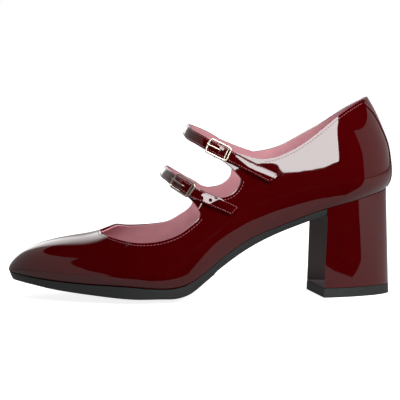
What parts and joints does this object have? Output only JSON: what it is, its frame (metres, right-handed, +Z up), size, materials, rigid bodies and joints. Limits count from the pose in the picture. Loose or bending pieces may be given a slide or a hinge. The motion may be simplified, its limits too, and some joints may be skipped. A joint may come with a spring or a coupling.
{
  "type": "mary jane shoe",
  "caption": "Patent leather mary jane with an almond toe, open throat, buckled straps over the instep and a covered block heel.",
  "frame": {"origin": "middle of the shoe's outline seen from above, on the floor", "axes": "+X to the toe, +Y to the outer (buckle) side of the left foot, +Z up"},
  "size_m": [0.2426, 0.0794, 0.1243],
  "materials": {
    "patent_leather": "burgundy patent, high gloss",
    "heel_cover": "burgundy patent, high gloss",
    "strap_leather": "burgundy patent, high gloss",
    "lining_leather": "pink kid lining, matte",
    "sole_rubber": "charcoal, satin",
    "top_piece_rubber": "charcoal, matte",
    "buckle_metal": "pale gold plate, polished"
  },
  "bodies": {
    "root": {"upper": "patent_leather", "insole": "lining_leather", "outsole": "sole_rubber", "heel_block": "heel_cover", "top_piece": "top_piece_rubber", "strap_upper": "strap_leather", "strap_lower": "strap_leather", "buckle_frame_upper": "buckle_metal", "buckle_frame_lower": "buckle_metal", "buckle_prong_upper": "buckle_metal", "buckle_prong_lower": "buckle_metal"}
  },
  "joints": []
}
